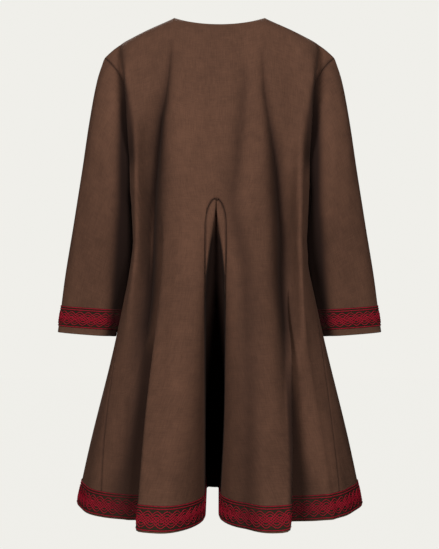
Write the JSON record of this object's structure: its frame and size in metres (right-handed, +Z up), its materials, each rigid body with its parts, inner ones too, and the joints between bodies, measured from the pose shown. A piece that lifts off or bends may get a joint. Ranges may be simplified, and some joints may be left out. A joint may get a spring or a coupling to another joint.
{
  "type": "medieval tunic",
  "caption": "Knee-length long-sleeved wool tunic, worn and hollow, with a round neck, dropped shoulders, back and side gores, and interlaced braid at hem and cuffs.",
  "frame": {"origin": "midway between the two neck points, where the shoulder seams meet the neckline and the wearer's shoulders carry the cloth", "axes": "+Z up, the wearer's front faces -Y and the back +Y, +X to the wearer's left"},
  "size_m": [0.718, 0.4681, 1.0605],
  "materials": {
    "cloth": "fulled and brushed brown wool, matt",
    "braid": "crimson interlace on a dark ground, woven and corded"
  },
  "bodies": {
    "root": {"back_panel": "cloth", "back_gore": "cloth", "front_panel": "cloth", "side_gore_left": "cloth", "side_gore_right": "cloth", "sleeve_left": "cloth", "sleeve_right": "cloth", "hem_braid": "braid", "cuff_braid_left": "braid", "cuff_braid_right": "braid"}
  },
  "joints": []
}
